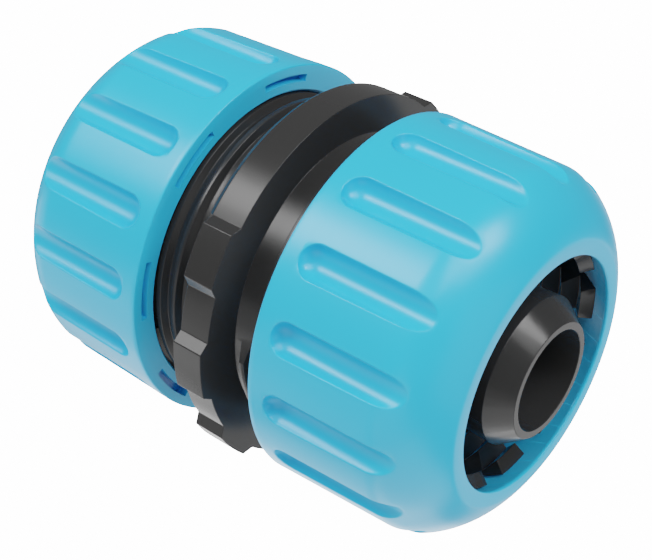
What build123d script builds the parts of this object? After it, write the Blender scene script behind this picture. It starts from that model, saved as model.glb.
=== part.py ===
from build123d import *
from math import cos, radians, sin, tan
import os

# Hose mender: a black moulded body with a hose tail, a ring of toothed jaws and a screw thread at
# each end, and two ribbed blue nuts that squeeze the jaws onto the hose. Millimetres, Z along the
# bore. It stands on the rim of its lower hose tail, and Z = 0 is that rim. Angles are in degrees
# about Z, and "reach" is a distance from the middle plane of the body, the same at both ends. The
# radii grow outwards from the bore, each by a wall, a height or a gap, so that all that lies outside
# a size follows it.

# Hose tails
TAIL_REACH = 25.47
BORE_RADIUS = 4.85
TAIL_TIP_WALL = 0.69
STEM_WALL = 1.45
BARB_HEIGHT = 0.86
BARB_LEAD_ANGLE = 36.8
BARB_BACK_ANGLE = 3.0
BARB_BACK_LENGTH = 3.4
BARB_PITCH = 5.0
BARB_COUNT = 3

# Body wall between the tails and the thread
HOSE_GAP = 3.61
NECK_WALL = 2.04
WEB_THICKNESS = 5.0

# Jaws, cut from the end of the wall by slots
JAW_COUNT = 12
JAW_SLOT_WIDTH = 2.60
JAW_SLOT_REACH = 11.0
JAW_REACH = 22.75
JAW_TIP_WALL = 1.05
JAW_END_LEAN = 0.96
JAW_CONE_ANGLE = 31.0
JAW_TOOTH_DEPTH = 1.67
JAW_TOOTH_PITCH = 2.08
JAW_TOOTH_RISE = 0.96
JAW_TOOTH_COUNT = 3

# Thread on the neck, right-handed
THREAD_PITCH = 1.78
THREAD_HEIGHT = 0.72
THREAD_CREST = 0.50
THREAD_BASE = 1.05
THREAD_START_REACH = 3.25
THREAD_TURNS = 3.0
THREAD_RUNOUT_ANGLE = 9.0
THREAD_SINK = 0.35

# Collar between the nuts
COLLAR_PROUD = 0.05
COLLAR_WIDTH = 3.22
COLLAR_TOP_REACH = 1.92
COLLAR_LIP_WIDTH = 0.70
COLLAR_LIP_STEP = 0.45
COLLAR_LIP_CHAMFER = 0.61

# Grip teeth on the collar, in two groups opposite each other
GRIP_HEIGHT = 0.87
GRIP_TOP_ANGLE = 15.0
GRIP_FLANK_ANGLE = 2.7
GRIP_PITCH_ANGLE = 34.25
GRIP_TEETH = 3
GRIP_GROUPS = 2
GRIP_EDGE_ROUND = 0.20

# Nuts
NUT_LENGTH = 17.89
NUT_WALL = 2.64
NUT_TAPER_ANGLE = 1.5
NUT_SHOULDER_ROUND = 4.2
NUT_SHOULDER_TURN = 32.0
NUT_DOME_ROUND = 9.3
NUT_DOME_TURN = 33.2
NUT_RIM_ROUND = 1.0
NUT_MOUTH_ROOM = 0.50
NUT_REAR_CHAMFER = 0.20

# Finger flutes round the nuts
FLUTE_COUNT = 16
FLUTE_RADIUS = 1.65
FLUTE_DEPTH = 1.38
FLUTE_MARGIN = 1.61

# Arc slots in the rear face of the nuts
REAR_SLOT_COUNT = 8
REAR_SLOT_WIDTH = 0.70
REAR_SLOT_DEPTH = 1.00
REAR_SLOT_ANGLE = 20.2

# How the nuts sit on the body
UPPER_NUT_REACH = 6.54
LOWER_NUT_REACH = 7.14
LOWER_NUT_TURN = -12.2
THREAD_CLEARANCE = 0.16
JAW_CLEARANCE = 0.20

# Room by which a cutter passes the face it opens
PASS = 1.0

TAIL_TIP_RADIUS = BORE_RADIUS + TAIL_TIP_WALL
STEM_RADIUS = BORE_RADIUS + STEM_WALL
BARB_RADIUS = STEM_RADIUS + BARB_HEIGHT
JAW_GRIP_RADIUS = BARB_RADIUS + HOSE_GAP
JAW_TIP_RADIUS = JAW_GRIP_RADIUS + JAW_TIP_WALL
POCKET_RADIUS = JAW_GRIP_RADIUS + JAW_TOOTH_DEPTH
NECK_RADIUS = POCKET_RADIUS + NECK_WALL
THREAD_RADIUS = NECK_RADIUS + THREAD_HEIGHT
NUT_BORE_RADIUS = THREAD_RADIUS + THREAD_CLEARANCE
NUT_RADIUS = NUT_BORE_RADIUS + NUT_WALL
NUT_MOUTH_RADIUS = JAW_GRIP_RADIUS + NUT_MOUTH_ROOM
COLLAR_RADIUS = NUT_RADIUS + COLLAR_PROUD


def polar(radius, angle, height=0.0):
    """A point at a radius and an angle about Z."""
    return (radius * cos(radians(angle)), radius * sin(radians(angle)), height)


def lathe(outline):
    """A solid turned about Z from an outline of (radius, height) points."""
    return revolve(Plane.XZ * make_face(Polyline(*outline, close=True)), Axis.Z)


def tail():
    """The hose tail: a stem with barbs behind a sharp lead-in cone, open along the bore."""
    lead = tan(radians(BARB_LEAD_ANGLE))
    back = tan(radians(BARB_BACK_ANGLE))
    heel_radius = BARB_RADIUS - BARB_BACK_LENGTH * back
    crest_reach = TAIL_REACH - (BARB_RADIUS - TAIL_TIP_RADIUS) / lead
    outline = [(BORE_RADIUS, 0), (BORE_RADIUS, TAIL_REACH), (TAIL_TIP_RADIUS, TAIL_REACH)]
    for barb in range(BARB_COUNT):
        crest = crest_reach - barb * BARB_PITCH
        if barb > 0:
            outline.append((STEM_RADIUS, crest + (BARB_RADIUS - STEM_RADIUS) / lead))
        outline.append((BARB_RADIUS, crest))
        outline.append((heel_radius, crest - BARB_BACK_LENGTH))
        outline.append((STEM_RADIUS, crest - BARB_BACK_LENGTH - (heel_radius - STEM_RADIUS)))
    outline.append((STEM_RADIUS, 0))
    return lathe(outline)


def jaw_wall():
    """The wall round the tail: neck, clamping cone, toothed end and the pocket for the hose."""
    cone_reach = JAW_REACH - (NECK_RADIUS - JAW_TIP_RADIUS) / tan(radians(JAW_CONE_ANGLE))
    outline = [(STEM_RADIUS, 0), (NECK_RADIUS, 0), (NECK_RADIUS, cone_reach)]
    outline.append((JAW_TIP_RADIUS, JAW_REACH))
    crest = JAW_REACH - JAW_END_LEAN
    for tooth in range(JAW_TOOTH_COUNT):
        outline.append((JAW_GRIP_RADIUS, crest))
        outline.append((POCKET_RADIUS, crest - JAW_TOOTH_PITCH + JAW_TOOTH_RISE))
        crest -= JAW_TOOTH_PITCH
    outline.append((POCKET_RADIUS, WEB_THICKNESS / 2))
    outline.append((STEM_RADIUS, WEB_THICKNESS / 2))
    return lathe(outline)


def jaw_slots():
    """Slots that part the end of the wall into jaws."""
    inner_radius = JAW_GRIP_RADIUS - PASS
    depth = NECK_RADIUS + PASS - inner_radius
    length = JAW_REACH + PASS - JAW_SLOT_REACH
    slot = Pos(inner_radius + depth / 2, 0, JAW_SLOT_REACH + length / 2) * Box(depth, JAW_SLOT_WIDTH, length)
    pitch = 360 / JAW_COUNT
    return [Rot(0, 0, (index + 0.5) * pitch) * slot for index in range(JAW_COUNT)]


def runout():
    """A block whose face slants across the start of the thread, so that it rises from the neck."""
    low = Vector(*polar(NECK_RADIUS - THREAD_SINK / 2, -THREAD_RUNOUT_ANGLE))
    high = Vector(*polar(THREAD_RADIUS, 0))
    along = (high - low).normalized()
    outward = along.cross(Vector(0, 0, 1))
    size = 2 * (high - low).length
    face = Plane(origin=low + along * (size / 2 - PASS), x_dir=along, z_dir=outward)
    return extrude(face * Rectangle(size + 2 * PASS, THREAD_PITCH), THREAD_RADIUS - NECK_RADIUS + PASS)


def thread():
    """The helical ridge that the nut screws along, from four helices joined by ruled strips."""
    flank = (THREAD_BASE - THREAD_CREST) / 2 / (THREAD_RADIUS - NECK_RADIUS)
    root_radius = NECK_RADIUS - THREAD_SINK
    root_half = THREAD_BASE / 2 + flank * THREAD_SINK
    corners = [(root_radius, -root_half), (THREAD_RADIUS, -THREAD_CREST / 2)]
    corners += [(radius, -height) for radius, height in reversed(corners)]
    length = THREAD_TURNS * THREAD_PITCH
    edges = [Pos(0, 0, height) * Helix(THREAD_PITCH, length, radius) for radius, height in corners]
    strips = [Face.make_surface_from_curves(edges[side - 1], edges[side]) for side in range(len(edges))]
    caps = [make_face(Polyline(*[edge @ end for edge in edges], close=True)).face() for end in (0, 1)]
    start = THREAD_START_REACH - THREAD_RUNOUT_ANGLE / 360 * THREAD_PITCH
    ridge = Pos(0, 0, start) * Rot(0, 0, -THREAD_RUNOUT_ANGLE) * Solid(Shell(strips + caps))
    return ridge - Pos(0, 0, start) * runout()


def body_end():
    """The upper half of the body, from the middle plane to the tail tip."""
    return tail() + (jaw_wall() - jaw_slots()) + thread()


def grip_tooth():
    """One raised tooth of the collar's grip, at angle 0."""
    half_top = GRIP_TOP_ANGLE / 2
    half_foot = half_top + GRIP_FLANK_ANGLE
    top_radius = COLLAR_RADIUS + GRIP_HEIGHT
    foot_radius = COLLAR_RADIUS - GRIP_HEIGHT
    crown = ThreePointArc(polar(top_radius, -half_top), polar(top_radius, 0), polar(top_radius, half_top))
    sides = Polyline(
        polar(top_radius, half_top),
        polar(COLLAR_RADIUS, half_foot),
        polar(foot_radius, half_foot),
        polar(foot_radius, -half_foot),
        polar(COLLAR_RADIUS, -half_foot),
        polar(top_radius, -half_top),
    )
    tooth = extrude(make_face(crown + sides), COLLAR_WIDTH)
    corners = tooth.edges().filter_by(Axis.Z).sort_by(lambda edge: edge.center().X)[-2:]
    return Pos(0, 0, COLLAR_TOP_REACH - COLLAR_WIDTH) * fillet(corners, GRIP_EDGE_ROUND)


def collar():
    """The disc between the nuts, with two groups of grip teeth and a lip under its plain zones."""
    underside = COLLAR_TOP_REACH - COLLAR_WIDTH
    disc = Pos(0, 0, underside) * extrude(Circle(COLLAR_RADIUS), COLLAR_WIDTH)
    disc -= extrude(Circle(NECK_RADIUS - PASS), COLLAR_WIDTH, both=True)
    lip_radius = COLLAR_RADIUS - COLLAR_LIP_STEP
    lip_low = underside - COLLAR_LIP_WIDTH
    lip_outline = [
        (NECK_RADIUS - PASS, lip_low),
        (lip_radius, lip_low),
        (COLLAR_RADIUS, lip_low + COLLAR_LIP_CHAMFER),
        (COLLAR_RADIUS, underside),
        (NECK_RADIUS - PASS, underside),
    ]
    group_angle = (GRIP_TEETH - 1) * GRIP_PITCH_ANGLE + GRIP_TOP_ANGLE + 2 * GRIP_FLANK_ANGLE
    lip_angle = 360 / GRIP_GROUPS - group_angle
    lip_face = Plane.XZ * make_face(Polyline(*lip_outline, close=True))
    lip = Rot(0, 0, group_angle / 2) * revolve(lip_face, Axis.Z, lip_angle)
    tooth = grip_tooth()
    pieces = []
    for group in range(GRIP_GROUPS):
        group_centre = group * 360 / GRIP_GROUPS
        pieces.append(Rot(0, 0, group_centre) * lip)
        for index in range(GRIP_TEETH):
            angle = group_centre + (index - (GRIP_TEETH - 1) / 2) * GRIP_PITCH_ANGLE
            pieces.append(Rot(0, 0, angle) * tooth)
    return disc + pieces


def body():
    """The whole moulded body: two ends, half a turn apart about X, and the collar between them."""
    end = body_end()
    return Pos(0, 0, TAIL_REACH) * (end + Rot(180, 0, 0) * end + collar())


def nut_shell():
    """The turned form of a nut, rear face down at Z = 0, with its bore and clamping cone."""
    shoulder_end = NUT_TAPER_ANGLE + NUT_SHOULDER_TURN
    dome_end = shoulder_end + NUT_DOME_TURN
    shoulder_height = NUT_SHOULDER_ROUND * (sin(radians(shoulder_end)) - sin(radians(NUT_TAPER_ANGLE)))
    dome_height = NUT_DOME_ROUND * (sin(radians(dome_end)) - sin(radians(shoulder_end)))
    rim_height = NUT_RIM_ROUND * (1 - sin(radians(dome_end)))
    side_height = NUT_LENGTH - shoulder_height - dome_height - rim_height
    side_top = (NUT_RADIUS - side_height * tan(radians(NUT_TAPER_ANGLE)), side_height)
    side = Line((NUT_RADIUS, 0), side_top)
    shoulder = JernArc(side @ 1, side % 1, NUT_SHOULDER_ROUND, NUT_SHOULDER_TURN)
    dome = JernArc(shoulder @ 1, shoulder % 1, NUT_DOME_ROUND, NUT_DOME_TURN)
    rim = JernArc(dome @ 1, dome % 1, NUT_RIM_ROUND, 90 - dome_end)
    widening = tan(radians(JAW_CONE_ANGLE))
    tip_height = JAW_REACH - min(UPPER_NUT_REACH, LOWER_NUT_REACH)
    tip_radius = JAW_TIP_RADIUS + JAW_CLEARANCE / cos(radians(JAW_CONE_ANGLE))
    cone_low = tip_height - (NUT_BORE_RADIUS - tip_radius) / widening
    cone_high = tip_height + (tip_radius - NUT_MOUTH_RADIUS) / widening
    inside = Polyline(
        rim @ 1,
        (NUT_MOUTH_RADIUS, NUT_LENGTH),
        (NUT_MOUTH_RADIUS, cone_high),
        (NUT_BORE_RADIUS, cone_low),
        (NUT_BORE_RADIUS, 0),
        (NUT_RADIUS, 0),
    )
    shell = revolve(Plane.XZ * make_face(side + shoulder + dome + rim + inside), Axis.Z)
    rear_edge = shell.edges().filter_by(GeomType.CIRCLE).group_by(Axis.Z)[0].sort_by(SortBy.RADIUS)[-1]
    return chamfer(rear_edge, NUT_REAR_CHAMFER)


def flute():
    """One finger flute's cutter: a rod with a ball end, which runs out through the dome."""
    axis_radius = NUT_RADIUS - FLUTE_DEPTH + FLUTE_RADIUS
    ball_height = FLUTE_MARGIN + FLUTE_RADIUS
    rod = extrude(Circle(FLUTE_RADIUS), NUT_LENGTH - ball_height + PASS)
    return Pos(axis_radius, 0, ball_height) * (rod + Sphere(FLUTE_RADIUS))


def rear_slot():
    """One shallow arc slot, midway through the wall of the rear face."""
    middle = (NUT_BORE_RADIUS + NUT_RADIUS) / 2
    block = Rectangle(REAR_SLOT_WIDTH, REAR_SLOT_DEPTH + PASS)
    face = Plane.XZ * Pos(middle, (REAR_SLOT_DEPTH - PASS) / 2) * block
    return Rot(0, 0, -REAR_SLOT_ANGLE / 2) * revolve(face, Axis.Z, REAR_SLOT_ANGLE)


def nut():
    """A whole nut, rear face down at Z = 0, with a flute at angle 0 and the shell's seam beside it."""
    cutters = [Rot(0, 0, index * 360 / FLUTE_COUNT) * flute() for index in range(FLUTE_COUNT)]
    cutters += [Rot(0, 0, index * 360 / REAR_SLOT_COUNT) * rear_slot() for index in range(REAR_SLOT_COUNT)]
    return Rot(0, 0, 180 / FLUTE_COUNT) * nut_shell() - cutters


os.makedirs("parts", exist_ok=True)
one_nut = nut()
upper_nut = Pos(0, 0, TAIL_REACH + UPPER_NUT_REACH) * one_nut
lower_nut = Pos(0, 0, TAIL_REACH - LOWER_NUT_REACH) * Rot(0, 0, LOWER_NUT_TURN) * Rot(180, 0, 0) * one_nut
export_step(body(), "parts/mender_body.step")
export_step(upper_nut, "parts/upper_nut.step")
export_step(lower_nut, "parts/lower_nut.step")
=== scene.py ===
# %% [markdown]
# Hose mender. Two sky-blue nuts screw onto a black moulded body and squeeze its jaws onto a hose.
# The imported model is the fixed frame: it holds the true sizes and the places of the three pieces.
# Everything here is in metres, with +Z along the bore, and the part stands on its lower hose tail.

# %% Load the frame
from math import acos, cos, degrees, pi, radians, sin, tan

import bpy
import numpy as np
from mathutils import Matrix, Vector


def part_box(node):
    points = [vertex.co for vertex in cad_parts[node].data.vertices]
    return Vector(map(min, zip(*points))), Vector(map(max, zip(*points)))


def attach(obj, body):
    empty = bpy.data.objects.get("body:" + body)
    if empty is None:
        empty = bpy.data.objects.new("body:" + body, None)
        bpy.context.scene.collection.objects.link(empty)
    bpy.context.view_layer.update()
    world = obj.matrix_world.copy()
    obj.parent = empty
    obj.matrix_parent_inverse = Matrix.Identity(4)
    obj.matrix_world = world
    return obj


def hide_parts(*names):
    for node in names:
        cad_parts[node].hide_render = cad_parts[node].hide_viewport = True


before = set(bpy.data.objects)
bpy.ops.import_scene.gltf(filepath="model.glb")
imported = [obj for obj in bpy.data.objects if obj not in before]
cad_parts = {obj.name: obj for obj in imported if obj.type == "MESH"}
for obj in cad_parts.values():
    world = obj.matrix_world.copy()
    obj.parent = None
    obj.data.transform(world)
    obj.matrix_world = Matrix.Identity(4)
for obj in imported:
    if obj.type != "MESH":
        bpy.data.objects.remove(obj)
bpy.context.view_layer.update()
bpy.ops.object.select_all(action="DESELECT")
MM = 0.001

# %% [markdown]
# The camera comes first, because every later choice is judged through it. Its lens is long, but it
# stands close to this small part, so the near end looks a little larger than the far end. The
# place, the look direction and the roll are those of the photograph, whose frame is 652 by 560.

# %% Camera
CAMERA_PLACE = Vector((85.82, -84.05, 97.45)) * MM
CAMERA_RIGHT = Vector((-0.63734, 0.00563, 0.77057))
CAMERA_BACK = Vector((0.61071, -0.60612, 0.50955))
CAMERA_LENS = 81.23
SENSOR_WIDTH = 36.0
CLIP_START = 0.005


def make_camera():
    """Adds the camera, and returns the directions to its right, above and behind it."""
    data = bpy.data.cameras.new("photo_camera")
    data.lens = CAMERA_LENS
    data.sensor_width = SENSOR_WIDTH
    data.clip_start = CLIP_START
    camera = bpy.data.objects.new("photo_camera", data)
    bpy.context.scene.collection.objects.link(camera)
    back = CAMERA_BACK.normalized()
    up = back.cross(CAMERA_RIGHT).normalized()
    right = up.cross(back)
    turn = Matrix((right, up, back)).transposed().to_4x4()
    camera.matrix_world = Matrix.Translation(CAMERA_PLACE) @ turn
    bpy.context.scene.camera = camera
    return right, up, back


SCREEN_RIGHT, SCREEN_UP, SCREEN_BACK = make_camera()
print("camera height above the floor, mm:", round(CAMERA_PLACE.z / MM, 1))

# %% [markdown]
# A glossy part needs something large and soft to mirror. A studio does that with softboxes: a key
# light up on the left with a brighter centre, a fill on the right, and one over the camera. The
# table and the walls throw back some of it, from below, from the sides and from behind. Each of
# them is an area light on a sphere round the part, placed by how far it stands to the right, above
# and in front, as the camera sees it. Its brightness is given as that of its surface, so a larger
# box lights more but looks the same in a reflection. The camera doesn't see the boxes, only white.

# %% Studio light and floor
PART_CENTRE = Vector((0, 0, 25)) * MM
SOFTBOX_DISTANCE = 0.5
ROOM_LIGHT, SEEN_WHITE = 0.2, 12.0
FLOOR_SIZE, FLOOR_TONE, FLOOR_ROUGHNESS = 4.0, 0.9, 0.9


def softbox(name, place, width, height, brightness):
    """A rectangular area light, level in the camera's view, that faces the part."""
    data = bpy.data.lights.new(name, "AREA")
    data.shape = "RECTANGLE"
    data.size = width
    data.size_y = height
    data.energy = brightness * pi * width * height
    lamp = bpy.data.objects.new(name, data)
    bpy.context.scene.collection.objects.link(lamp)
    right, up, front = place
    outward = (SCREEN_RIGHT * right + SCREEN_UP * up + SCREEN_BACK * front).normalized()
    level = SCREEN_UP.cross(outward).normalized()
    turn = Matrix((level, outward.cross(level), outward)).transposed().to_4x4()
    lamp.matrix_world = Matrix.Translation(PART_CENTRE + outward * SOFTBOX_DISTANCE) @ turn
    lamp.visible_camera = False


# each one's name, its place (right, above, in front), its width and height, and its brightness
SOFTBOXES = [
    ("key_softbox", (-0.65, 0.60, 0.45), 0.40, 0.25, 3.6),
    ("key_centre", (-0.62, 0.60, 0.50), 0.20, 0.14, 9.8),
    ("fill_softbox", (0.66, 0.46, 0.59), 0.13, 0.13, 16.0),
    ("front_softbox", (0.35, 0.48, 0.80), 0.30, 0.30, 5.9),
    ("front_bounce", (-0.25, 0.35, 0.90), 0.30, 0.30, 1.2),
    ("near_table", (-0.30, -0.75, 0.55), 0.40, 0.40, 1.1),
    ("left_table", (-0.80, -0.55, 0.10), 0.40, 0.40, 0.8),
    ("right_table", (0.77, -0.40, 0.50), 0.40, 0.40, 0.8),
    ("table", (0.05, -0.98, -0.12), 0.50, 0.50, 1.9),
    ("far_table", (-0.20, -0.70, -0.70), 0.50, 0.50, 1.35),
    ("back_wall", (0.10, -0.20, -0.97), 0.50, 0.50, 1.0),
    ("left_wall", (-0.85, -0.25, -0.45), 0.40, 0.40, 1.4),
    ("right_wall", (0.80, -0.35, -0.50), 0.40, 0.40, 1.0),
]
for box in SOFTBOXES:
    softbox(*box)


def white_room(lit, seen):
    """A plain white world: one strength lights the part, another is what the camera sees."""
    world = bpy.data.worlds.new("white_room")
    bpy.context.scene.world = world
    world.use_nodes = True
    nodes = world.node_tree.nodes
    links = world.node_tree.links
    background = nodes["Background"]
    background.inputs["Color"].default_value = (1, 1, 1, 1)
    path = nodes.new("ShaderNodeLightPath")
    strength = nodes.new("ShaderNodeMapRange")
    strength.inputs["To Min"].default_value = lit
    strength.inputs["To Max"].default_value = seen
    links.new(path.outputs["Is Camera Ray"], strength.inputs["Value"])
    links.new(strength.outputs["Result"], background.inputs["Strength"])


white_room(ROOM_LIGHT, SEEN_WHITE)


def make_floor():
    """A plain pale floor, as white as the room. Lights below it still reach the part."""
    bpy.ops.mesh.primitive_plane_add(size=FLOOR_SIZE, location=(0, 0, 0))
    floor = bpy.context.active_object
    floor.name = "floor"
    material = bpy.data.materials.new("pale_floor")
    material.use_nodes = True
    shader = material.node_tree.nodes["Principled BSDF"]
    shader.inputs["Base Color"].default_value = (FLOOR_TONE, FLOOR_TONE, FLOOR_TONE, 1)
    shader.inputs["Roughness"].default_value = FLOOR_ROUGHNESS
    shader.inputs["Specular IOR Level"].default_value = 0.0
    shader.inputs["Emission Color"].default_value = (1, 1, 1, 1)
    shader.inputs["Emission Strength"].default_value = SEEN_WHITE
    floor.data.materials.append(material)
    floor.visible_glossy = False
    floor.visible_diffuse = False
    floor.visible_shadow = False


make_floor()
bpy.context.scene.view_settings.view_transform = "Filmic"

# %% [markdown]
# Both plastics are injection moulded: smooth and fairly glossy, with a very fine grain from the
# mould and a slow change of tone where the melt cooled. One node group makes that finish, and each
# material gives it its own colours. It puts out colour, roughness and height. The shader stays in
# the material, so that gloss and reflections remain physical.

# %% Finish of moulded plastic
CLOUD_SCALE, CLOUD_DETAIL, CLOUD_ROUGHNESS = 70.0, 3.0, 0.5
GRAIN_SCALE, GRAIN_DETAIL, GRAIN_ROUGHNESS = 4200.0, 2.0, 0.6
GRAIN_HEIGHT = 0.001 * MM
PLASTIC_IOR = 1.5


def add_node(tree, kind, **values):
    """A node with some of its input sockets set."""
    node = tree.nodes.new(kind)
    for key, value in values.items():
        node.inputs[key.replace("_", " ")].default_value = value
    return node


def moulded_finish():
    """The shared group: tone clouds, roughness clouds and the mould's fine grain as height."""
    group = bpy.data.node_groups.new("moulded_finish", "ShaderNodeTree")
    face = group.interface
    face.new_socket("Light Tone", in_out="INPUT", socket_type="NodeSocketColor")
    face.new_socket("Deep Tone", in_out="INPUT", socket_type="NodeSocketColor")
    face.new_socket("Smooth", in_out="INPUT", socket_type="NodeSocketFloat")
    face.new_socket("Dull", in_out="INPUT", socket_type="NodeSocketFloat")
    face.new_socket("Color", in_out="OUTPUT", socket_type="NodeSocketColor")
    face.new_socket("Roughness", in_out="OUTPUT", socket_type="NodeSocketFloat")
    face.new_socket("Height", in_out="OUTPUT", socket_type="NodeSocketFloat")
    inputs = group.nodes.new("NodeGroupInput")
    outputs = group.nodes.new("NodeGroupOutput")
    place = group.nodes.new("ShaderNodeTexCoord")
    cloud = add_node(group, "ShaderNodeTexNoise", Scale=CLOUD_SCALE, Detail=CLOUD_DETAIL,
                     Roughness=CLOUD_ROUGHNESS)
    grain = add_node(group, "ShaderNodeTexNoise", Scale=GRAIN_SCALE, Detail=GRAIN_DETAIL,
                     Roughness=GRAIN_ROUGHNESS)
    tone = group.nodes.new("ShaderNodeMix")
    tone.data_type = "RGBA"
    gloss = group.nodes.new("ShaderNodeMapRange")
    join = group.links.new
    join(place.outputs["Object"], cloud.inputs["Vector"])
    join(place.outputs["Object"], grain.inputs["Vector"])
    join(cloud.outputs["Fac"], tone.inputs["Factor"])
    join(inputs.outputs["Deep Tone"], tone.inputs["A"])
    join(inputs.outputs["Light Tone"], tone.inputs["B"])
    join(cloud.outputs["Fac"], gloss.inputs["Value"])
    join(inputs.outputs["Smooth"], gloss.inputs["To Min"])
    join(inputs.outputs["Dull"], gloss.inputs["To Max"])
    join(tone.outputs["Result"], outputs.inputs["Color"])
    join(gloss.outputs["Result"], outputs.inputs["Roughness"])
    join(grain.outputs["Fac"], outputs.inputs["Height"])
    return group


MOULDED_FINISH = moulded_finish()


def plastic(name, light_tone, deep_tone, smooth, dull, shine):
    """A moulded plastic: the shared finish feeds one Principled shader."""
    material = bpy.data.materials.new(name)
    material.use_nodes = True
    tree = material.node_tree
    shader = tree.nodes["Principled BSDF"]
    finish = tree.nodes.new("ShaderNodeGroup")
    finish.node_tree = MOULDED_FINISH
    finish.inputs["Light Tone"].default_value = (*light_tone, 1)
    finish.inputs["Deep Tone"].default_value = (*deep_tone, 1)
    finish.inputs["Smooth"].default_value = smooth
    finish.inputs["Dull"].default_value = dull
    bump = add_node(tree, "ShaderNodeBump", Strength=1.0, Distance=GRAIN_HEIGHT)
    tree.links.new(finish.outputs["Color"], shader.inputs["Base Color"])
    tree.links.new(finish.outputs["Roughness"], shader.inputs["Roughness"])
    tree.links.new(finish.outputs["Height"], bump.inputs["Height"])
    tree.links.new(bump.outputs["Normal"], shader.inputs["Normal"])
    shader.inputs["IOR"].default_value = PLASTIC_IOR
    shader.inputs["Specular IOR Level"].default_value = shine
    return material


BLUE_TONES = (0.032, 0.455, 0.85), (0.029, 0.433, 0.82)
BLUE_ROUGHNESS, BLUE_SHINE = (0.26, 0.31), 0.365
BLACK_TONES = (0.023, 0.023, 0.023), (0.020, 0.020, 0.020)
BLACK_ROUGHNESS, BLACK_SHINE = (0.20, 0.25), 0.23
BLUE_PLASTIC = plastic("sky_blue_plastic", *BLUE_TONES, *BLUE_ROUGHNESS, BLUE_SHINE)
BLACK_PLASTIC = plastic("black_plastic", *BLACK_TONES, *BLACK_ROUGHNESS, BLACK_SHINE)
print("materials:", [item.name for item in bpy.data.materials])

# %% [markdown]
# The body is one black moulding. Its form is already exact in the frame, so a copy of that mesh is
# the start. Real mouldings have no razor edges: every edge has a tiny round that catches a thin
# line of light. The copy's loose triangles are merged, flat areas are dissolved into whole faces,
# and a Bevel modifier rounds every edge that turns by more than a set angle. Its clamp would shrink
# all the rounds to suit the shortest edge, so it is off, and the width is small. Smooth shading
# alone would bend the light over the wide faces. A Weighted Normal modifier gives the larger faces
# the say, so they stay flat, and each narrow round takes the whole turn.
#
# A real part mirrors itself. The photo shows a highlight on the neck where the dark body would be
# mirrored, so here the body is left out of reflections. That is a choice for the picture's sake.

# %% Body
EDGE_ROUND = 0.06 * MM
EDGE_SEGMENTS = 3
EDGE_ANGLE = radians(26)
FLAT_ANGLE = radians(0.8)
SMOOTH_ANGLE = radians(40)
MERGE_DISTANCE = 0.002 * MM


def select_only(piece):
    """Makes one object the selected and active one."""
    bpy.ops.object.select_all(action="DESELECT")
    piece.select_set(True)
    bpy.context.view_layer.objects.active = piece


def merged_copy(node, name):
    """A copy of a frame node with its loose triangles merged into whole faces."""
    piece = bpy.data.objects.new(name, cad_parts[node].data.copy())
    bpy.context.scene.collection.objects.link(piece)
    select_only(piece)
    bpy.ops.object.mode_set(mode="EDIT")
    bpy.ops.mesh.select_all(action="SELECT")
    bpy.ops.mesh.remove_doubles(threshold=MERGE_DISTANCE)
    bpy.ops.mesh.dissolve_limited(angle_limit=FLAT_ANGLE)
    bpy.ops.object.mode_set(mode="OBJECT")
    return piece


def shade_flat_and_round(piece):
    """Smooth shading in which the large faces stay flat and the narrow rounds take the turn."""
    select_only(piece)
    bpy.ops.object.shade_smooth_by_angle(angle=SMOOTH_ANGLE)
    weights = piece.modifiers.new("flat_faces", "WEIGHTED_NORMAL")
    weights.keep_sharp = True
    bpy.ops.object.modifier_apply(modifier=weights.name)


def round_edges(piece):
    """Rounds the sharper edges with an applied Bevel modifier."""
    bevel = piece.modifiers.new("edge_round", "BEVEL")
    bevel.width = EDGE_ROUND
    bevel.segments = EDGE_SEGMENTS
    bevel.limit_method = "ANGLE"
    bevel.angle_limit = EDGE_ANGLE
    bevel.use_clamp_overlap = False
    select_only(piece)
    bpy.ops.object.modifier_apply(modifier=bevel.name)


body = merged_copy("mender_body", "body_moulding")
round_edges(body)
shade_flat_and_round(body)
body.data.materials.clear()
body.data.materials.append(BLACK_PLASTIC)
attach(body, "mender_body")
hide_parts("mender_body")
body.visible_glossy = False
print("body faces:", len(body.data.polygons))

# %% [markdown]
# A nut is turned in outline and fluted round its side. The outline is drawn once as points, in mm
# and degrees. Its side leans in a little, and a shoulder, a dome and a rim follow, each an arc that
# starts in the direction in which the last one ends. So only the first arc's place is worked out,
# from the total length, and each next centre lies on the line that the two arcs share.

# %% Sizes of the nut
NUT_LENGTH = 17.89
NUT_RADIUS = 18.00
NUT_TAPER = 1.5
SHOULDER_ROUND, SHOULDER_TURN = 4.2, 32.0
DOME_ROUND, DOME_TURN = 9.3, 33.2
RIM_ROUND = 1.0
MOUTH_RADIUS, MOUTH_ROUND = 11.27, 0.12
BORE_RADIUS, BORE_CHAMFER = 15.36, 0.20
CONE_ANGLE = 31.0
JAW_TIP_RADIUS, JAW_TIP_HEIGHT, JAW_CLEARANCE = 11.82, 16.21, 0.20
REAR_ROUND = 0.14
SLOT_COUNT, SLOT_INNER, SLOT_OUTER, SLOT_DEPTH, SLOT_ANGLE = 8, 16.33, 17.03, 1.0, 20.2
FLUTE_COUNT, FLUTE_RADIUS, FLUTE_DEPTH, FLUTE_MARGIN = 16, 1.65, 1.38, 1.61
LIP_ROUND = 0.10
ROD_PLACE = NUT_RADIUS - FLUTE_DEPTH + FLUTE_RADIUS


def side_radius(height):
    """The tapered side's radius at a height above the rear face."""
    return NUT_RADIUS - height * tan(radians(NUT_TAPER))


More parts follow.
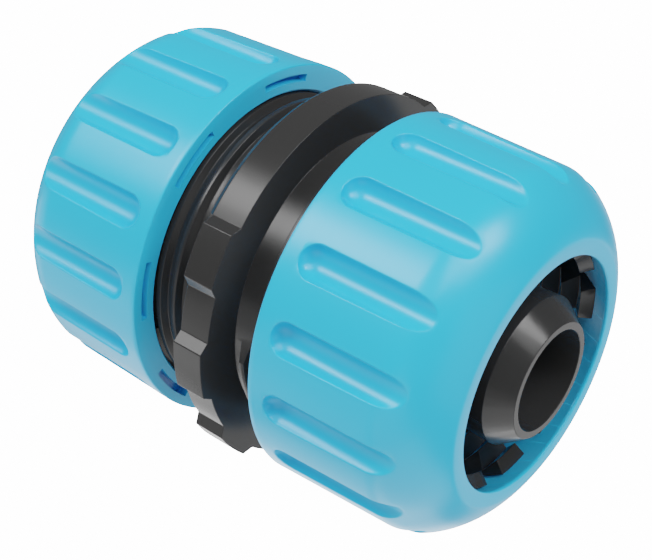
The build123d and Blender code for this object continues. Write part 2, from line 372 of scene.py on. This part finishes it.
def outer_arcs():
    """The side's top, and each arc above it as (out, up, radius, first turn, last turn)."""
    radii = [SHOULDER_ROUND, DOME_ROUND, RIM_ROUND]
    turns = [NUT_TAPER, NUT_TAPER + SHOULDER_TURN, NUT_TAPER + SHOULDER_TURN + DOME_TURN, 90]
    sines = [sin(radians(turn)) for turn in turns]
    rise = sum(radius * (sines[step + 1] - sines[step]) for step, radius in enumerate(radii))
    side_top = NUT_LENGTH - rise
    out, up, last = side_radius(side_top), side_top, 0
    arcs = []
    for step, radius in enumerate(radii):
        out += (last - radius) * cos(radians(turns[step]))
        up += (last - radius) * sin(radians(turns[step]))
        arcs.append((out, up, radius, turns[step], turns[step + 1]))
        last = radius
    return side_top, arcs


SIDE_TOP, (SHOULDER, DOME, RIM) = outer_arcs()
print("side ends at, mm:", round(SIDE_TOP, 2))
print("dome centre, mm:", [round(value, 2) for value in DOME[:2]])

# %% [markdown]
# Where a flute starts and where it runs out through the dome, its edge curves quickly. So the rows
# of points stand closer together there. On the flute's ball end they follow equal turns of the
# ball, and in the dome their distance from the run-out grows with the square of their number.

# %% Outline of the nut
BALL_STEP = 7.5
SIDE_STEP = 0.9
SHOULDER_STEPS, DOME_STEPS, RIM_STEPS, CORNER_STEPS = 12, 14, 4, 3
RUN_OUT_STEPS = 9
REAR_CLEARANCE = 3 * REAR_ROUND


def arc_points(arc, turns):
    """Points of (radius, height) on an arc at the given turns."""
    out, up, radius = arc[:3]
    return [(out + radius * cos(radians(turn)), up + radius * sin(radians(turn))) for turn in turns]


def corner_points(point, radius, start, stop):
    """A small round on a square corner: point is the sharp corner, turns as for an arc."""
    middle = radians((start + stop) / 2)
    reach = radius / cos(radians((stop - start) / 2))
    centre = (point[0] - reach * cos(middle), point[1] - reach * sin(middle), radius)
    return arc_points(centre, np.linspace(start, stop, CORNER_STEPS + 1))


def side_heights():
    """Heights of the rows on the side: close round the flutes' ball ends, wide above them."""
    turns = np.arange(0, 90 + BALL_STEP, BALL_STEP)
    rises = FLUTE_RADIUS * (1 - np.cos(np.radians(turns)))
    below = FLUTE_MARGIN - rises[rises < FLUTE_MARGIN - REAR_CLEARANCE]
    above = FLUTE_MARGIN + rises[1:]
    side = np.arange(above[-1] + SIDE_STEP, SIDE_TOP, SIDE_STEP)
    return [*below[::-1], *above, *side]


def dome_turns():
    """Turns of the rows on the dome, closest where the flutes run out."""
    run_out = degrees(acos((ROD_PLACE - FLUTE_RADIUS - DOME[0]) / DOME_ROUND))
    steps = np.arange(1, RUN_OUT_STEPS + 1) / RUN_OUT_STEPS
    before = run_out - (run_out - DOME[3]) * steps[:-1] ** 2
    after = run_out + (run_out - DOME[3]) * steps**2
    rest = np.linspace(after[-1], DOME[4], DOME_STEPS + 1)[1:]
    return [*before[::-1], run_out, *after, *rest]


def nut_outline():
    """The closed section of the shell as (radius, height) points, rear face at height 0."""
    widening = tan(radians(CONE_ANGLE))
    tip_radius = JAW_TIP_RADIUS + JAW_CLEARANCE / cos(radians(CONE_ANGLE))
    cone_low = JAW_TIP_HEIGHT - (BORE_RADIUS - tip_radius) / widening
    cone_high = JAW_TIP_HEIGHT + (tip_radius - MOUTH_RADIUS) / widening
    points = [(BORE_RADIUS, BORE_CHAMFER), (BORE_RADIUS + BORE_CHAMFER, 0)]
    points += [(SLOT_INNER, 0), (SLOT_OUTER, 0)]
    points += corner_points((NUT_RADIUS, 0), REAR_ROUND, -90, 0)
    points += [(side_radius(height), height) for height in side_heights()]
    points += arc_points(SHOULDER, np.linspace(SHOULDER[3], SHOULDER[4], SHOULDER_STEPS + 1))
    points += arc_points(DOME, dome_turns())
    points += arc_points(RIM, np.linspace(RIM[3], RIM[4], RIM_STEPS + 1)[1:])
    points += corner_points((MOUTH_RADIUS, NUT_LENGTH), MOUTH_ROUND, 90, 180)
    points += [(MOUTH_RADIUS, cone_high), (BORE_RADIUS, cone_low)]
    return points


outline = nut_outline()
print("points in the nut's outline:", len(outline))

# %% [markdown]
# The spin operator turns the outline into a closed shell, with the same number of columns over each
# flute. Its last column meets the first, so the doubles there are merged, and the normals are made
# to point outwards.

# %% Turned shell
COLUMNS = 40
PITCH = 360 / FLUTE_COUNT


def spin_shell(name, points):
    """Turns a closed outline about Z with the spin operator and closes the seam."""
    mesh = bpy.data.meshes.new(name)
    ring = [(radius * MM, 0, height * MM) for radius, height in points]
    sides = [(index, (index + 1) % len(ring)) for index in range(len(ring))]
    mesh.from_pydata(ring, sides, [])
    shell = bpy.data.objects.new(name, mesh)
    bpy.context.scene.collection.objects.link(shell)
    select_only(shell)
    bpy.ops.object.mode_set(mode="EDIT")
    bpy.ops.mesh.select_all(action="SELECT")
    bpy.ops.mesh.spin(steps=COLUMNS * FLUTE_COUNT, angle=2 * pi, center=(0, 0, 0), axis=(0, 0, 1))
    bpy.ops.mesh.select_all(action="SELECT")
    bpy.ops.mesh.remove_doubles(threshold=MERGE_DISTANCE)
    bpy.ops.mesh.normals_make_consistent(inside=False)
    bpy.ops.mesh.select_all(action="DESELECT")
    bpy.ops.object.mode_set(mode="OBJECT")
    return shell


nut = spin_shell("nut_form", outline)
print("turned shell:", len(nut.data.vertices), "points")

# %% [markdown]
# A flute is what a rod with a ball end would press into the side. A cut would leave ragged faces
# where the rod leaves the dome, so the shell's own points are moved instead. First the columns
# slide sideways, until a band of them follows the edge of each flute.

# %% Columns along the flutes' edges
FLOOR_COLUMNS, LIP_COLUMNS, SLOT_COLUMNS = 8, 14, 18
LIP_INNER, LIP_OUTER = 0.25, 0.40
LEAST_REACH, FULL_REACH = 0.35, 5.2


def flute_reach(radius, height):
    """Degrees from a flute's middle to its edge at this row. Past the ends it grows again."""
    below = np.minimum(height - (FLUTE_MARGIN + FLUTE_RADIUS), 0)
    rod = FLUTE_RADIUS**2 - below**2
    level = (radius**2 + ROD_PLACE**2 - rod) / (2 * radius * ROD_PLACE)
    reach = np.degrees(np.arccos(np.maximum(1 - np.abs(1 - level), 0)))
    return np.clip(reach, LEAST_REACH, FULL_REACH)


def between(value, low, high, start, stop):
    """The value's place between low and high, carried over to between start and stop."""
    return start + (stop - start) * (value - low) / (high - low)


def column_angle(place, reach):
    """Degrees from a flute's middle for an even place, counted in columns from that middle."""
    away = np.abs(place)
    inner = reach - np.minimum(LIP_INNER, reach / 2)
    outer = reach + LIP_OUTER
    floor = between(away, 0, FLOOR_COLUMNS, 0, inner)
    lip = between(away, FLOOR_COLUMNS, LIP_COLUMNS, inner, outer)
    side = between(away, LIP_COLUMNS, SLOT_COLUMNS, outer, SLOT_ANGLE / 2)
    rest = between(away, SLOT_COLUMNS, COLUMNS / 2, SLOT_ANGLE / 2, PITCH / 2)
    angle = np.where(away < LIP_COLUMNS, np.where(away < FLOOR_COLUMNS, floor, lip), side)
    return np.sign(place) * np.where(away < SLOT_COLUMNS, angle, rest)


print("columns over a flute:", COLUMNS, "and on each lip:", LIP_COLUMNS - FLOOR_COLUMNS)

# %% [markdown]
# Then each point over a flute moves straight in until it lies on the rod. A gap says how far a
# point stands outside a form, and it is below zero inside the form. The gap of the fluted nut joins
# the gaps of the rod and of the skin, with a small radius that blends them along the moulded lip.
# The place where it is zero is found by halving the stretch between deep inside and the skin.

# %% Pressed flutes
SEARCH_STEPS = 26
SEARCH_FLOOR = NUT_RADIUS - 2 * FLUTE_DEPTH


def rod_gap(radius, angle, height):
    """How far a point stands outside the rod with its ball end, in mm."""
    across = radius * np.sin(angle)
    out = radius * np.cos(angle) - ROD_PLACE
    below = np.minimum(height - (FLUTE_MARGIN + FLUTE_RADIUS), 0)
    return np.sqrt(across**2 + out**2 + below**2) - FLUTE_RADIUS


def skin_gap(radius, height):
    """How far a point stands outside the side, the shoulder or the dome, in mm."""
    lean = np.degrees(np.arctan2(height - SHOULDER[1], radius - SHOULDER[0]))
    side = (radius - side_radius(height)) * cos(radians(NUT_TAPER))
    shoulder = np.hypot(radius - SHOULDER[0], height - SHOULDER[1]) - SHOULDER_ROUND
    dome = np.hypot(radius - DOME[0], height - DOME[1]) - DOME_ROUND
    return np.where(lean < NUT_TAPER, side, np.where(lean < SHOULDER[4], shoulder, dome))


def nut_gap(radius, angle, height):
    """How far a point stands outside the fluted nut with its rounded lips, in mm."""
    rod = LIP_ROUND - rod_gap(radius, angle, height)
    skin = LIP_ROUND + skin_gap(radius, height)
    lip = np.hypot(np.maximum(rod, 0), np.maximum(skin, 0))
    return lip + np.minimum(np.maximum(rod, skin), 0) - LIP_ROUND


def press_flutes(shell):
    """Slides the columns along the flutes' edges and moves the points over the flutes in."""
    points = np.zeros(len(shell.data.vertices) * 3)
    shell.data.vertices.foreach_get("co", points)
    points = points.reshape(-1, 3) / MM
    radius = np.hypot(points[:, 0], points[:, 1])
    height = points[:, 2]
    pitches = np.degrees(np.arctan2(points[:, 1], points[:, 0])) / PITCH
    flute = np.round(pitches)
    local = np.radians(column_angle((pitches - flute) * COLUMNS, flute_reach(radius, height)))
    angle = np.radians(flute * PITCH) + local
    over = rod_gap(radius, local, height) < LIP_ROUND
    low = np.full(np.count_nonzero(over), SEARCH_FLOOR)
    high = radius[over]
    for _ in range(SEARCH_STEPS):
        middle = (low + high) / 2
        outside = nut_gap(middle, local[over], height[over]) > 0
        high = np.where(outside, middle, high)
        low = np.where(outside, low, middle)
    radius[over] = low
    points[:, 0] = radius * np.cos(angle)
    points[:, 1] = radius * np.sin(angle)
    shell.data.vertices.foreach_set("co", (points * MM).ravel())
    shell.data.update()
    return radius[over].min()


print("flute floor's radius, mm:", round(press_flutes(nut), 2))

# %% [markdown]
# The rear face has eight shallow arc slots, left by the mould. The faces between two rows of the
# turned shell are already there, so those in each slot's arc are selected by their place and
# extruded into the wall.

# %% Rear slots
REAR_LEVEL = 0.01


def cut_rear_slots(shell):
    """Extrudes the rear face's slot faces into the wall, and returns how many there are."""
    mesh = shell.data
    centres = np.zeros(len(mesh.polygons) * 3)
    mesh.polygons.foreach_get("center", centres)
    centres = centres.reshape(-1, 3) / MM
    radius = np.hypot(centres[:, 0], centres[:, 1])
    step = 360 / SLOT_COUNT
    turn = np.degrees(np.arctan2(centres[:, 1], centres[:, 0])) / step
    turn = np.abs(turn - np.round(turn)) * step
    chosen = (radius > SLOT_INNER) & (radius < SLOT_OUTER) & (turn < SLOT_ANGLE / 2)
    chosen &= centres[:, 2] < REAR_LEVEL
    mesh.polygons.foreach_set("select", chosen)
    select_only(shell)
    bpy.context.tool_settings.mesh_select_mode = (False, False, True)
    bpy.ops.object.mode_set(mode="EDIT")
    bpy.ops.mesh.extrude_region_move(TRANSFORM_OT_translate={"value": (0, 0, SLOT_DEPTH * MM)})
    bpy.ops.object.mode_set(mode="OBJECT")
    return np.count_nonzero(chosen)


print("slot faces:", cut_rear_slots(nut))
shade_flat_and_round(nut)
print("nut faces:", len(nut.data.polygons))

# %% [markdown]
# The nuts are two copies of that one moulding. The upper one stands rear face down above the
# collar, and the lower one is turned over and a little round, as the photo shows. Each place comes
# from the frame's own boxes, and it goes into the mesh, so the objects stay at the origin.

# %% Two nuts
LOWER_NUT_TURN = -12.2


def place_nut(form, name, node, turned_over, turn):
    """A copy of the form, moved in its mesh to where the frame has the nut."""
    piece = bpy.data.objects.new(name, form.data.copy())
    bpy.context.scene.collection.objects.link(piece)
    low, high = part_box(node)
    move = Matrix.Translation((0, 0, high.z if turned_over else low.z))
    move = move @ Matrix.Rotation(radians(turn), 4, "Z")
    if turned_over:
        move = move @ Matrix.Rotation(pi, 4, "X")
    piece.data.transform(move)
    piece.data.materials.append(BLUE_PLASTIC)
    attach(piece, node)
    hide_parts(node)
    return piece


near_nut = place_nut(nut, "upper_nut_moulding", "upper_nut", False, 0)
far_nut = place_nut(nut, "lower_nut_moulding", "lower_nut", True, LOWER_NUT_TURN)
bpy.data.objects.remove(nut)
print("pieces:", near_nut.name, far_nut.name)
